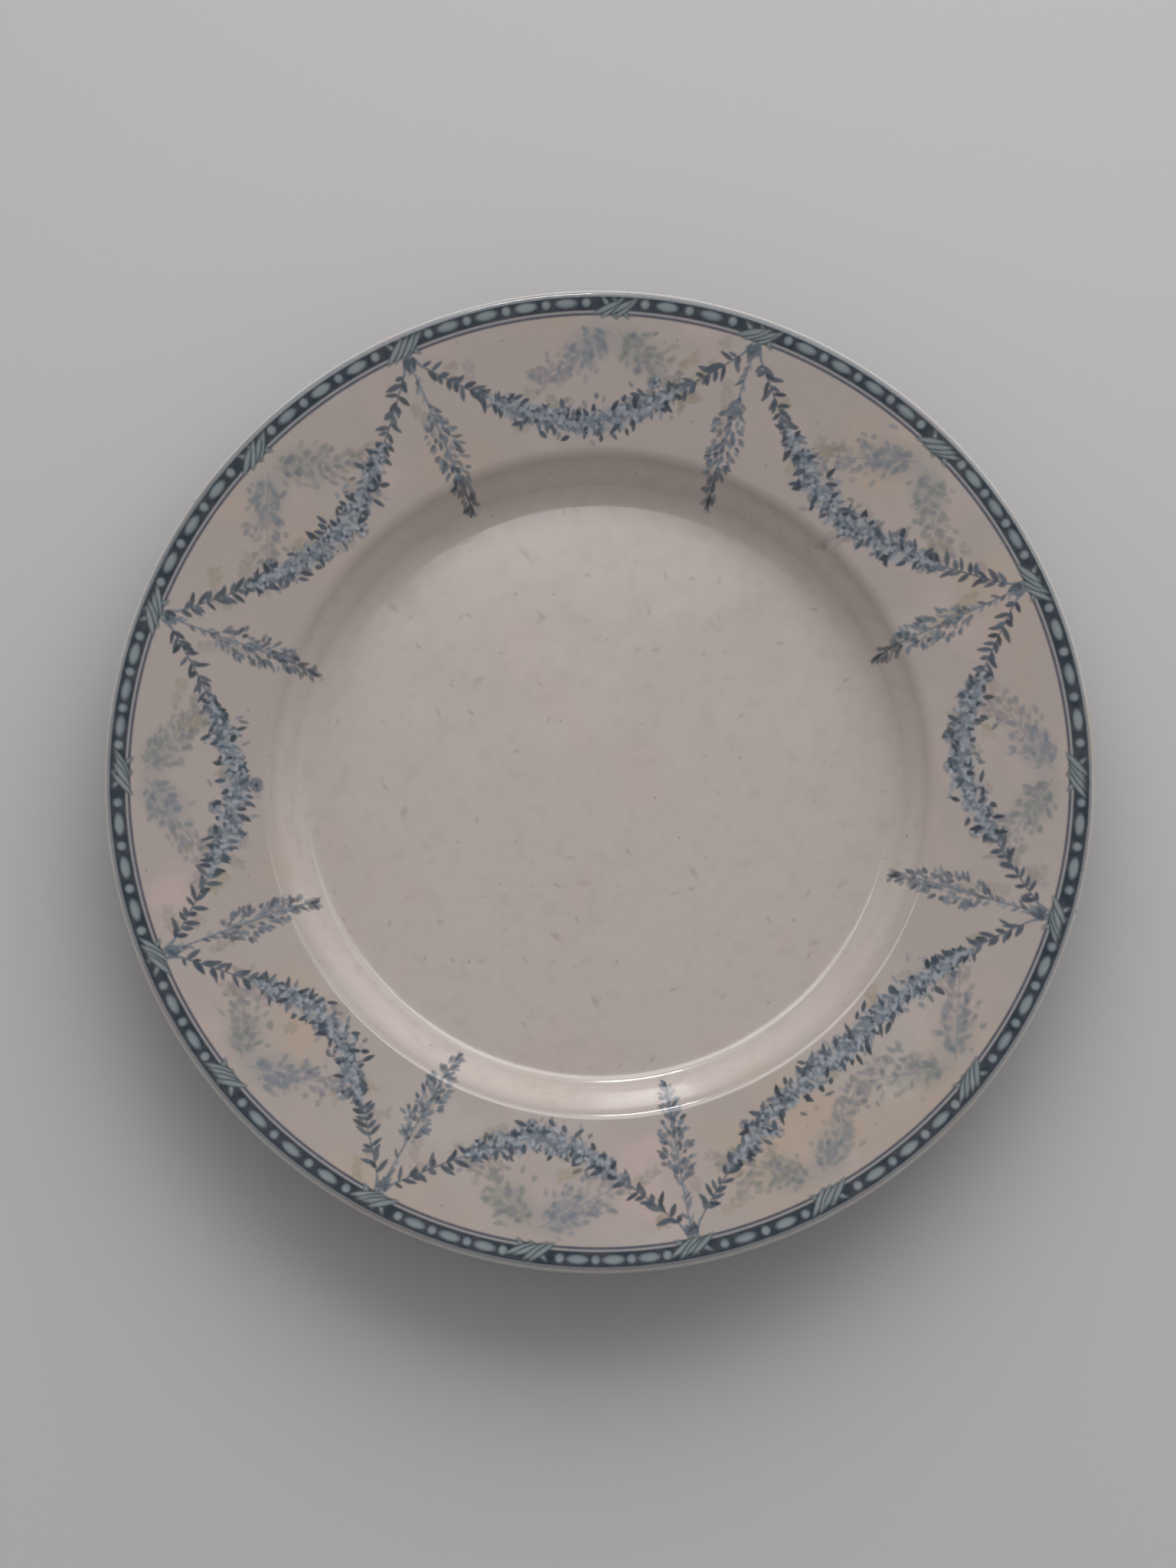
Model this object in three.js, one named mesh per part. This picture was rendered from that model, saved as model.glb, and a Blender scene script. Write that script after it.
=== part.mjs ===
// Round earthenware serving dish: the fired clay body, the glaze that covers its face and back down to the
// foot, and the glaze on the base inside the foot ring. Millimetres, +Z up. The origin is the centre of the
// plane that the bare foot ring stands on. Every piece is turned from one radial profile, as the clay is
// jiggered against a profile tool, and a profile point is (radius, height).
import * as THREE from 'three';

// Dish, over the clay
const LIP_DIAMETER = 309.4;
const LIP_HEIGHT = 34.7;
const LIP_THICKNESS = 3.6;
const WALL = 4.6;

// Face: flat well, steep cavetto, wide sloping marli. The cavetto runs out from the well's corner to the
// shoulder, where the marli starts.
const WELL_HEIGHT = 8;
const WELL_CORNER_DIAMETER = 185;
const WELL_FILLET = 14;
const CAVETTO_RUN = 12;
const CAVETTO_RISE = 17;
const SHOULDER_BACK_FILLET = 3.6;

// Foot ring, which stands a little outside the well's corner
const FOOT_STEP_OUT = 1.5;
const FOOT_WIDTH = 5;
const FOOT_EDGE = 0.8;

// Glaze
const GLAZE = 0.3;
const GLAZE_LINE = 1.6;
const FIRING_GAP = 0.02;

// Facets: steps round the axis, and the most that a chord may cut into a rounded corner of the profile
const TURN_STEPS = 72;
const FACET_SAG = 0.1;

// Colours of the fired ware
const BISCUIT_COLOUR = 0xd9c4a6;
const GLAZE_COLOUR = 0xd8cbc0;
const BASE_COLOUR = 0xd3c6ba;

// Radii and heights that several pieces share
const WELL_CORNER_RADIUS = WELL_CORNER_DIAMETER / 2;
const SHOULDER_RADIUS = WELL_CORNER_RADIUS + CAVETTO_RUN;
const FOOT_RADIUS = WELL_CORNER_RADIUS + FOOT_STEP_OUT;
const LIP_RADIUS = LIP_THICKNESS / 2;

const point = (radius, height) => new THREE.Vector2(radius, height);
const left = (direction) => point(-direction.y, direction.x);

// Points along an arc, both ends included.
function arc(centre, radius, from, to) {
  const widestStep = 2 * Math.acos(Math.max(0, 1 - FACET_SAG / radius));
  const steps = Math.max(2, Math.ceil(Math.abs(to - from) / widestStep));
  return Array.from({ length: steps + 1 }, (_, i) => {
    const angle = from + ((to - from) * i) / steps;
    return point(centre.x + radius * Math.cos(angle), centre.y + radius * Math.sin(angle));
  });
}

// A corner of a profile rounded to a radius between the lines that come in and go out.
function fillet(before, corner, after, radius) {
  const into = corner.clone().sub(before).normalize();
  const out = after.clone().sub(corner).normalize();
  const turn = Math.atan2(into.cross(out), into.dot(out));
  const setback = radius * Math.tan(Math.abs(turn) / 2);
  const start = corner.clone().addScaledVector(into, -setback);
  const side = Math.sign(turn);
  const centre = start.clone().addScaledVector(left(into), side * radius);
  const from = Math.atan2(start.y - centre.y, start.x - centre.x);
  return arc(centre, radius, from, from + turn);
}

// A profile moved sideways by a distance that may change from point to point, positive to its left.
// Corners stay sharp and the first and last points move square to their own line.
function offset(profile, distanceAt) {
  return profile.map((here, i) => {
    const before = profile[Math.max(i - 1, 0)];
    const after = profile[Math.min(i + 1, profile.length - 1)];
    const normals = [
      [before, here],
      [here, after],
    ]
      .filter(([a, b]) => a !== b)
      .map(([a, b]) => left(b.clone().sub(a).normalize()));
    const first = normals[0];
    const last = normals[normals.length - 1];
    const miter = first.clone().add(last).divideScalar(1 + first.dot(last));
    return here.clone().addScaledVector(miter, distanceAt(here));
  });
}

// Height of an outward-running profile where it crosses a radius.
function heightAt(profile, radius) {
  const i = profile.findIndex((p) => p.x > radius);
  const [a, b] = [profile[i - 1], profile[i]];
  return THREE.MathUtils.mapLinear(radius, a.x, b.x, a.y, b.y);
}

// The clay's face, from the centre of the well to where the lip starts to round over.
function faceProfile() {
  const centre = point(0, WELL_HEIGHT);
  const wellCorner = point(WELL_CORNER_RADIUS, WELL_HEIGHT);
  const shoulder = point(SHOULDER_RADIUS, WELL_HEIGHT + CAVETTO_RISE);
  const lipCentre = point(LIP_DIAMETER / 2 - LIP_RADIUS, LIP_HEIGHT - LIP_RADIUS);
  const run = lipCentre.clone().sub(shoulder);
  const marliTilt = Math.atan2(run.y, run.x) + Math.asin(LIP_RADIUS / run.length());
  const alongMarli = point(Math.cos(marliTilt), Math.sin(marliTilt));
  const lipStart = lipCentre.clone().addScaledVector(left(alongMarli), LIP_RADIUS);
  return {
    lipCentre,
    marliTilt,
    points: [
      centre,
      ...fillet(centre, wellCorner, shoulder, WELL_FILLET),
      ...fillet(wellCorner, shoulder, lipStart, SHOULDER_BACK_FILLET + WALL),
      lipStart,
    ],
  };
}

// The whole outline of the clay in four stretches that follow each other from the centre of the well,
// over the lip and down the back, round the foot ring and in to the centre of the base.
function clayProfile() {
  const face = faceProfile();
  const lipFrom = face.marliTilt + Math.PI / 2;
  const lip = arc(face.lipCentre, LIP_RADIUS, lipFrom, lipFrom - Math.PI).slice(1, -1);

  // The wall thins evenly over the marli, from the shoulder to the lip.
  const wallAt = (p) => {
    const outward = Math.max(p.x, SHOULDER_RADIUS);
    return THREE.MathUtils.mapLinear(outward, SHOULDER_RADIUS, face.lipCentre.x, WALL, LIP_THICKNESS);
  };
  const back = offset(face.points, (p) => -wallAt(p));

  const footInner = FOOT_RADIUS - FOOT_WIDTH;
  const baseHeight = WELL_HEIGHT - WALL;
  const footTop = point(FOOT_RADIUS, heightAt(back, FOOT_RADIUS));
  const bareOuter = point(FOOT_RADIUS, GLAZE_LINE);
  const bareInner = point(footInner, GLAZE_LINE);
  return {
    face: [...face.points, ...lip],
    back: [...back.filter((p) => p.x > FOOT_RADIUS).reverse(), footTop, bareOuter],
    foot: [
      point(FOOT_RADIUS, FOOT_EDGE),
      point(FOOT_RADIUS - FOOT_EDGE, 0),
      point(footInner + FOOT_EDGE, 0),
      point(footInner, FOOT_EDGE),
    ],
    base: [bareInner, point(footInner, baseHeight), point(0, baseHeight)],
  };
}

// A closed profile turned about the dish's axis, which stands along +Z.
function turned(name, profile, colour, roughness) {
  const geometry = new THREE.LatheGeometry([...profile].reverse(), TURN_STEPS);
  geometry.rotateX(Math.PI / 2);
  const material = new THREE.MeshStandardMaterial({ color: colour, roughness, metalness: 0 });
  const mesh = new THREE.Mesh(geometry, material);
  mesh.name = name;
  return mesh;
}

// A skin of glaze over a stretch of the clay's outline, fired onto it with only a hair of space between.
// The stretch has one end on the axis, and so the skin's closed profile starts and ends there.
function skin(stretch) {
  const inside = offset(stretch, () => FIRING_GAP).reverse();
  const outside = offset(stretch, () => GLAZE);
  return stretch[0].x === 0 ? [...outside, ...inside] : [...inside, ...outside];
}

const clay = clayProfile();

const dish = new THREE.Group();
dish.add(
  turned('biscuit_body', [...clay.face, ...clay.back, ...clay.foot, ...clay.base], BISCUIT_COLOUR, 0.85),
  turned('glaze_coat', skin([...clay.face, ...clay.back]), GLAZE_COLOUR, 0.2),
  turned('base_glaze', skin(clay.base), BASE_COLOUR, 0.25),
);

export default dish;
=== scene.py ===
"""Looks of a round glazed earthenware serving dish with a printed garland, built around its CAD frame.

Lengths are millimetres until a mesh, lamp or camera is made, and metres from there on. A profile point is
(radius, height). The print is painted by code as a film of ink over the plan of the dish, and is kept on the
points of a fine mesh of the glaze.
"""
import math

import bpy
import numpy as np
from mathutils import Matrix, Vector


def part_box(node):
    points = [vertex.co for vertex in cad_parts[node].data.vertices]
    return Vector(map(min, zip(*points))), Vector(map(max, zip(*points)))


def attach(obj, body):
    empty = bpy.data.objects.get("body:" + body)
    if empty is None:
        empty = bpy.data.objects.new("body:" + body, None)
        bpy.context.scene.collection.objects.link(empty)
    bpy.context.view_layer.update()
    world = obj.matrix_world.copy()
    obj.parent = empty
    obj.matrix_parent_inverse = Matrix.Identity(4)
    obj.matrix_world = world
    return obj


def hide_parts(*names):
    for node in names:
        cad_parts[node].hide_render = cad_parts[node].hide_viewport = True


MM = 0.001

# Profile of the clay, as the CAD solids have it
WELL_HEIGHT = 8.0
WELL_CORNER = 92.5
WELL_FILLET = 14.0
SHOULDER = 104.5
SHOULDER_FILLET = 8.2
CAVETTO_RISE = 17.0
WALL = 4.6
LIP_THICKNESS = 3.6
FOOT_RADIUS = 94.0
FOOT_WIDTH = 5.0
FOOT_EDGE = 0.8
FOOT_ROUNDING = 0.3
GLAZE = 0.3
GLAZE_LINE = 1.6
FIRING_GAP = 0.02

# Corners of the face, a little crisper than the CAD solids have them
CRISP_CORNER = 94.6
CRISP_WELL_FILLET = 8.0
CRISP_SHOULDER_FILLET = 5.0

# Warp of the rim in the kiln: a slow wave around it that dies away at the shoulder
WARP_HEIGHT = 0.25
WARP_WAVES = 3
WARP_PHASE = 0.6

# Mesh: steps along the profiles, columns round the axis, and the discs of the bake map
ARC_STEPS = 12
FINE_STEP = 3.0
USUAL_STEP = 6.0
HIDDEN_STEP = 12.0
PLAIN_COLUMNS = 320
PRINT_COLUMNS = 2560
PRINT_RING_STEP = 0.3
PRINT_INNER = 95.0
PRINT_OUTER = 0.9975
AXIS = 1e-9
SHARP_ANGLE = math.radians(40)
ATLAS_RADIUS = 0.49
HIDDEN_CENTRE = 0.07
HIDDEN_RADIUS = 0.06

# Print: radii as shares of the lip radius, angles in degrees anticlockwise from +X
SEED = 7
INK_PIXEL = 0.2
SOFT_EDGE = 0.42
BAND = (0.9588, 0.9908)
BEAD_LINE = 0.9748
RAIL = 0.9518
OUTER_RAIL = 0.9940
TIE_LINE = 0.946
SPRAY_LINE = 0.925
SWAG_LINE = 0.735
SPIKE_TIP = 0.625
SHADE_LINE = 0.86
RIBBON_LINE = BEAD_LINE - 0.010
BEAD_SHINE_LINE = BEAD_LINE + 0.0015
KNOT_TOP = BAND[0] - 0.004
KNOT_LINE = TIE_LINE - 0.004
KNOT_FOOT = TIE_LINE - 0.030
TIES = (24.4, 70.2, 114.4, 159.4, 202.2, 242.1, 281.4, 342.8)
MID_TIES = (0.5, 44.4, 88.1, 136.7, 179.5, 219.0, 261.9, 298.6, 320.7)
RIBBON_WIDTH = 5.2
BEAD_PITCH = 2.55
USUAL_SWAG = 44.0
SPRIG_SPAN = 10.5

# Garlands: their line, then the step along it for each kind of mark and how far off it the mark may be
SWAG_POINTS = 81
SWAG_FLATNESS = 1.9
SWAG_ROUNDNESS = 0.9
SWAG_TAPER = 0.10
STEM_WIDTH = 0.5
STEM_STRENGTH = 0.85
BARE_STEM = 0.04
SPRIG_STEP = 2.6
SPRIG_SLIP = 2.2
CLOUD_STEP = 2.0
CLOUD_HALF_LENGTH = 3.0
CLOUD_HALF_WIDTH = 3.4
CLOUD_STRENGTH = 0.22
INNER_STEP = 0.9
INNER_SPREAD = 2.7
FLORET_STEP = 4.2
FLORET_SPREAD = 2.1
FLORET_FULLNESS = 0.2
FLORET_SIZES = (1.6, 2.5)
FLORET_PETALS = 5
OUTER_STEP = 1.5
OUTER_REACH = 4.4
PETAL_STEP = 1.3
PETAL_SPREAD = 2.2

# Spikes and sprays: steps along the stem, half widths at shares of the way along it, and other sizes
SPIKE_STEP = 0.9
SPIKE_SHARES = (0.36, 0.50, 0.72, 1.0)
SPIKE_HALF_WIDTHS = (1.4, 4.9, 3.9, 0.4)
SPIKE_SLIM = 2.2
SPIKE_POINTS = 25
SPIKE_LEAN = 1.2
SPIKE_TIP_LEAF = (3.2, 1.2)
SPRAY_STEP = 0.7
SPRAY_SHARES = (0.05, 0.3, 0.6, 1.0)
SPRAY_HALF_WIDTHS = (1.2, 6.6, 5.6, 2.4)
SPRAY_LENGTHS = (29, 33)
SPRAY_SLANTS = (0.82, 0.98)
SPRAY_START = 2
SPRAY_POINTS = 8
SPRAY_STEM_WIDTH = 0.6
SPRAY_HAZE = 5.0
SPRAY_HAZE_SHARE = 0.26
SPRAY_DOTS = 18
SPRAY_DOT_HALF_WIDTH = 0.6
SPRAY_DOT_SPREAD = 3.0

# Faint sprigs of the second printing: short ones along each garland, and a long one at each tie
MIST_SOFT = 0.7
SHADE_STEP = 1.5
SHADE_LEAF_LENGTHS = (2.0, 3.4)
SHADE_LEAF_WIDTH = 1.5
SHADE_LENGTHS = (3, 8)
SHADES_TO_A_SWAG = 14
SHADED_POINTS = (6, 75)
SHADE_SHIFTS = (0.95, 1.07)
TIE_SHADE_LENGTH = 20
TIE_SHADE_SHIFT = 2
TIE_SHADE_TURN = 194

# Leaves, bells and petals: a range of lengths and a range of widths. A petal's are halves.
SPRIG_LEAF = (2.8, 5.8), (1.2, 1.9)
INNER_LEAF = (2.0, 3.8), (1.0, 1.6)
OUTER_LEAF = (2.2, 4.6), (1.1, 1.8)
STEM_LEAF = (2.2, 3.6), (0.9, 1.3)
BELL = (1.8, 3.0), (1.0, 1.5)
SPRAY_LEAF = (2.0, 3.8), (1.2, 1.9)
KNOT_LEAF = (3.0, 5.2), (1.1, 1.6)
LOOSE_PETAL = (0.8, 1.3), (0.45, 0.75)

# Beads: half lengths and widths, and how much more of the band a long one takes than a round one
ROUND_BEAD = 1.3
LONG_BEAD = 3.2
BEAD_HALF_WIDTH = 1.35
BEAD_SOFT = 0.7
BEAD_SHINE_SHARE = 0.7
BEAD_SHINE_HALF_WIDTH = 0.7
LONG_BEAD_SHARE = 1.75

# Ribbons: lean from the radius, half length and places along the band of the strands that go each way
RIBBON_STRANDS = ((0.75, 4.2, (-2.2, 1.9)), (-0.95, 4.6, (-3.6, -1.4, 0.8, 3.0)))
RIBBON_HALF_WIDTH = 1.2
RIBBON_PALE_HALF_WIDTH = 0.7
RIBBON_EDGE = 0.5

# Rails and knots
RAIL_HALF_WIDTH = 0.42
OUTER_RAIL_HALF_WIDTH = 0.25
KNOT_STEM_WIDTH = 0.7
KNOT_LEAVES = 4

# Ink, as linear colours
NAVY = (0.010, 0.018, 0.044)
TEAL = (0.012, 0.026, 0.029)
INK_MID = (0.074, 0.106, 0.145)
INK_PALE = (0.190, 0.222, 0.262)
BEAD = (0.200, 0.236, 0.244)
PETAL = (0.310, 0.335, 0.368)
MIST_BLUE = (0.150, 0.178, 0.208)
MIST_GREEN = (0.175, 0.192, 0.164)
MIST_LILAC = (0.240, 0.188, 0.242)
MIST_OLIVE = (0.262, 0.217, 0.115)

# Ware, as linear colours
WARE_WELL = (0.428, 0.379, 0.352)
# Painted light: the cavetto's colour is paler than the well's, standing in for the light the cavetto catches
CAVETTO_PAINTED_LIGHT = (0.486, 0.433, 0.405)
# Partly painted shade: the marli's colour is a little pinker than the well's and darkened to stand in for
# shade
RIM_WITH_PAINTED_SHADE = (0.340, 0.295, 0.277)
WARE_LIP = (0.430, 0.422, 0.414)
WARE_BACK = (0.420, 0.372, 0.342)
STAIN_TAN = (0.400, 0.300, 0.205)
STAIN_PINK = (0.470, 0.350, 0.330)
STAIN_GREY = (0.390, 0.375, 0.350)
MOTTLE = (0.330, 0.290, 0.262)
PIT_BROWN = (0.150, 0.110, 0.080)
CLAY_BUFF = (0.560, 0.440, 0.310)
CLAY_GRIME = (0.220, 0.165, 0.115)
FLOOR_PALE = (0.470, 0.466, 0.480)

# Stains of the ware: colour, size of a patch, noise seed, and the noise levels where a patch comes in
STAINS = (
    (STAIN_TAN, 46, 1.0, 0.50, 0.78),
    (STAIN_PINK, 30, 5.0, 0.52, 0.76),
    (STAIN_GREY, 38, 9.0, 0.52, 0.80),
)
PLAIN_STAIN = 0.4
FACE_STAIN = (0.15, 0.60)
MOTTLE_STRENGTH = 0.30
SPECK_STRENGTH = 0.60
WEAR_STRENGTH = 0.32
GRIME_STRENGTH = 0.75
THIN_PRINT = 0.90

# Where the face changes, as shares of the lip radius. The well and shoulder edges bound the cavetto's painted
# light and start the marli's partly painted shade
WELL_EDGE = (0.592, 0.634)
SHOULDER_EDGE = (0.642, 0.690)
LIP_EDGE = (0.986, 0.994)
STAIN_EDGE = (0.60, 0.72)
WORN_EDGE = (0.57, 0.63)
DULL_EDGE = (0.50, 0.58)

# Shine of the surfaces
GLAZE_IOR = 1.5
GLAZE_ROUGHNESS = (0.06, 0.18)
WELL_DULLNESS = 0.08
FINE_WAVES = 0.06
CLAY_ROUGHNESS = (0.72, 0.92)
FLOOR_ROUGHNESS = 0.9
FLOOR_SPECULAR = 0.2

# Camera: the photograph looks at the face almost squarely, from a little below the dish's axis
PHOTO_SIZE = (1536, 2048)
PHOTO_DISH_WIDTH = 1295
PHOTO_DISH_CENTRE = (783, 1015)
CAMERA_DISTANCE = 2.2
CAMERA_ELEVATION = math.radians(83)
SENSOR_HEIGHT = 36.0

# Light and floor, in metres and watts
KEY_PLACE = (0.12, 0.46, 0.53)
KEY_SIZE = (0.90, 0.50)
KEY_WATTS = 1.92
PANEL_PLACE = (-0.03, 0.21, 0.42)
PANEL_SIZE = (0.34, 0.17)
PANEL_WATTS = 0.60
GLINTS = 5
GLINT_FIRST = (-0.22, 0.97, 0.72)
GLINT_STEP = 0.05
GLINT_SIZE = (0.022, 0.08)
GLINT_WATTS = 0.6
LAMP_TARGET = (0, 0, 0.02)
SKY_COLOUR = (1.0, 0.985, 0.975)
SKY_TOWARDS = (0.15, 0.97, 0.20)
SKY_EDGE = 0.45
SKY_DIM = 0.43
SKY_BRIGHT = 2.40
BACKDROP = 0.37
FLOOR_WIDTH = 12.0

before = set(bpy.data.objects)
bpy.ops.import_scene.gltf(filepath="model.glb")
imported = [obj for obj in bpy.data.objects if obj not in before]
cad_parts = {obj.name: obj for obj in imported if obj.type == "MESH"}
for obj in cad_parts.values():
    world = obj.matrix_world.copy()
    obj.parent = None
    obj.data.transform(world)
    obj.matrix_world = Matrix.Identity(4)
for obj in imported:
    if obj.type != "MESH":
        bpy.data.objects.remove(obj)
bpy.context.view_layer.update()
LIP_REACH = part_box("biscuit_body")[1].x / MM
LIP_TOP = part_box("biscuit_body")[1].z / MM

rng = np.random.default_rng(SEED)


# Profiles

def arc(centre, radius, start, end, steps=ARC_STEPS):
    """Points along an arc, both ends included."""
    angles = np.linspace(start, end, steps + 1)
    return np.stack([centre[0] + radius * np.cos(angles), centre[1] + radius * np.sin(angles)], 1)


def fillet(before, corner, after, radius):
    """A corner of a profile rounded to a radius."""
    into = (corner - before) / np.linalg.norm(corner - before)
    out = (after - corner) / np.linalg.norm(after - corner)
    bend = math.atan2(into[0] * out[1] - into[1] * out[0], into @ out)
    start = corner - into * radius * math.tan(abs(bend) / 2)
    centre = start + np.array([-into[1], into[0]]) * math.copysign(radius, bend)
    first = math.atan2(*(start - centre)[::-1])
    return arc(centre, radius, first, first + bend)


def offset(line, distance):
    """A profile moved to its left by a distance, or by one distance for each point, with mitred corners."""
    steps = np.diff(line, axis=0)
    normals = np.stack([-steps[:, 1], steps[:, 0]], 1) / np.linalg.norm(steps, axis=1)[:, None]
    first = np.vstack([normals[:1], normals])
    last = np.vstack([normals, normals[-1:]])
    miter = (first + last) / (1 + (first * last).sum(1))[:, None]
    return line + miter * np.broadcast_to(distance, len(line))[:, None]


def face_line(well_corner, shoulder, lip_start, well_fillet, shoulder_fillet):
    """The face from the centre of the well to where the lip starts to round over."""
    centre = np.array([0.0, WELL_HEIGHT])
    corner = np.array([well_corner, WELL_HEIGHT])
    return np.vstack([
        centre,
        fillet(centre, corner, shoulder, well_fillet),
        fillet(corner, shoulder, lip_start, shoulder_fillet),
        lip_start,
    ])


def clay_profile(lip_reach, lip_top):
    """The clay's outline in three stretches: the face out to the lip's widest point, the back from there down
    to the glaze line on the foot, and the base inside the foot."""
    lip = LIP_THICKNESS / 2
    shoulder = np.array([SHOULDER, WELL_HEIGHT + CAVETTO_RISE])
    lip_centre = np.array([lip_reach - lip, lip_top - lip])
    run = lip_centre - shoulder
    tilt = math.atan2(run[1], run[0]) + math.asin(lip / np.linalg.norm(run))
    lip_start = lip_centre + lip * np.array([-math.sin(tilt), math.cos(tilt)])
    face = face_line(CRISP_CORNER, shoulder, lip_start, CRISP_WELL_FILLET, CRISP_SHOULDER_FILLET)
    solid_face = face_line(WELL_CORNER, shoulder, lip_start, WELL_FILLET, SHOULDER_FILLET)
    wall = np.interp(solid_face[:, 0], [SHOULDER, lip_centre[0]], [WALL, LIP_THICKNESS])
    under = offset(solid_face, -wall)
    foot_top = [FOOT_RADIUS, np.interp(FOOT_RADIUS, under[:, 0], under[:, 1])]
    lip_over = arc(lip_centre, lip, tilt + math.pi / 2, 0)[1:]
    lip_under = arc(lip_centre, lip, 0, tilt - math.pi / 2)
    back = np.vstack([
        lip_under[:-1],
        under[under[:, 0] > FOOT_RADIUS][::-1],
        foot_top,
        [FOOT_RADIUS, GLAZE_LINE],
    ])
    inner = FOOT_RADIUS - FOOT_WIDTH
    base_height = WELL_HEIGHT - WALL
    base = np.array([[inner, GLAZE_LINE], [inner, base_height], [0.0, base_height]])
    return np.vstack([face, lip_over]), back, base


def bare_foot():
    """The unglazed tread of the foot ring, between the two glaze lines."""
    inner = FOOT_RADIUS - FOOT_WIDTH
    return np.array([
        [FOOT_RADIUS, FOOT_EDGE],
        [FOOT_RADIUS - FOOT_EDGE * FOOT_ROUNDING, FOOT_EDGE * FOOT_ROUNDING],
        [FOOT_RADIUS - FOOT_EDGE, 0.0],
        [inner + FOOT_EDGE, 0.0],
        [inner + FOOT_EDGE * FOOT_ROUNDING, FOOT_EDGE * FOOT_ROUNDING],
        [inner, FOOT_EDGE],
    ])


def refine(line, step):
    """The same profile with points no further apart than a step."""
    out = [line[:1]]
    for a, b in zip(line[:-1], line[1:]):
        count = max(1, math.ceil(np.linalg.norm(b - a) / step))
        out.append(a + (b - a) * np.linspace(0, 1, count + 1)[1:, None])
    return np.vstack(out)


# Turned meshes

def turned(name, stretches, loop=False):
    """A closed piece turned about +Z from stretches of (profile, columns, shown) that follow each other with
    the outside on their left. It ends in a pole where a profile meets the axis, and with loop its last ring
    joins its first."""
    rings = []
    for line, columns, shown in stretches:
        for radius, height in line:
            rings.append((radius, height, columns if radius > AXIS else 1, shown))
    counts = [columns for _, _, columns, _ in rings]
    starts = np.cumsum([0] + counts)
    points = np.vstack([circle(radius, height, columns) for radius, height, columns, _ in rings])
    indices = [np.arange(start, start + count) for start, count in zip(starts, counts)]
    followers = indices[1:] + indices[:1] if loop else indices[1:]
    blocks = [strip(ring, follower) for ring, follower in zip(indices, followers)]
    mesh = bpy.data.meshes.new(name)
    fill_mesh(mesh, warped(points) * MM, blocks)
    lay_out(mesh, rings, counts)
    mesh.polygons.foreach_set("use_smooth", np.ones(len(mesh.polygons), bool))
    mesh.set_sharp_from_angle(angle=SHARP_ANGLE)
    piece = bpy.data.objects.new(name, mesh)
    bpy.context.scene.collection.objects.link(piece)
    return piece


def circle(radius, height, columns):
    """Points round the axis."""
    angles = np.arange(columns) * math.tau / columns
    return np.stack([radius * np.cos(angles), radius * np.sin(angles), np.full(columns, height)], 1)


def strip(ring, follower):
    """Faces between two rings of points. One may have several times the other's columns, or be a pole."""
    few, many = sorted((ring, follower), key=len)
    if len(few) == 1:
        faces = np.stack([np.broadcast_to(few, len(many)), many, np.roll(many, -1)], 1)
    else:
        ratio = len(many) // len(few)
        fine = [np.roll(many, -k)[::ratio] for k in range(ratio + 1)]
        faces = np.stack([np.roll(few, -1), few, *fine], 1)
    return faces if few is ring else faces[:, ::-1]


def fill_mesh(mesh, points, blocks):
    """Puts points and blocks of faces into an empty mesh."""
    sizes = np.concatenate([np.full(len(block), block.shape[1]) for block in blocks])
    corners = np.concatenate([block.ravel() for block in blocks])
    mesh.vertices.add(len(points))
    mesh.vertices.foreach_set("co", points.astype(np.float32).ravel())
    mesh.loops.add(len(corners))
    mesh.loops.foreach_set("vertex_index", corners.astype(np.int32))
    mesh.polygons.add(len(sizes))
    mesh.polygons.foreach_set("loop_start", (np.cumsum(sizes) - sizes).astype(np.int32))
    mesh.update(calc_edges=True)
    mesh.validate()


def warped(points):
    """Points with the rim's slow kiln warp, which leaves the well and the foot flat."""
    reach = np.hypot(points[:, 0], points[:, 1])
    share = np.clip((reach - WELL_CORNER) / (LIP_REACH - WELL_CORNER), 0, 1)
    wave = np.cos(WARP_WAVES * np.arctan2(points[:, 1], points[:, 0]) + WARP_PHASE) - 1
    drop = WARP_HEIGHT / 2 * wave * share ** 2
    return points + np.stack([0 * drop, 0 * drop, drop], 1)


def lay_out(mesh, rings, counts):
    """The bake map of a turned piece: what shows is a disc, by the length along its profile from the end
    nearest the axis, and what doesn't is a small disc in a corner."""
    profile = np.array([ring[:2] for ring in rings])
    shown = np.array([ring[3] for ring in rings])
    steps = np.hypot(*np.diff(profile, axis=0).T)
    length = np.concatenate([[0], np.cumsum(steps)])
    first, last = np.flatnonzero(shown)[[0, -1]]
    near = first if profile[first, 0] <= profile[last, 0] else last
    reach = profile[near, 0] + np.abs(length - length[near])
    radius = np.where(shown, ATLAS_RADIUS * reach / reach[shown].max(), HIDDEN_RADIUS * length / length[-1])
    centre = np.where(shown, 0.5, HIDDEN_CENTRE)
    angles = np.concatenate([np.arange(count) * math.tau / count for count in counts])
    radius = np.repeat(np.where(profile[:, 0] > AXIS, radius, 0), counts)
    centre = np.repeat(centre, counts)
    uv = np.stack([centre + radius * np.cos(angles), centre + radius * np.sin(angles)], 1)
    corners = np.empty(len(mesh.loops), np.int32)
    mesh.loops.foreach_get("vertex_index", corners)
    layer = mesh.uv_layers.new(name="OFBake")
    layer.data.foreach_set("uv", uv[corners].astype(np.float32).ravel())


# The print

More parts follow.
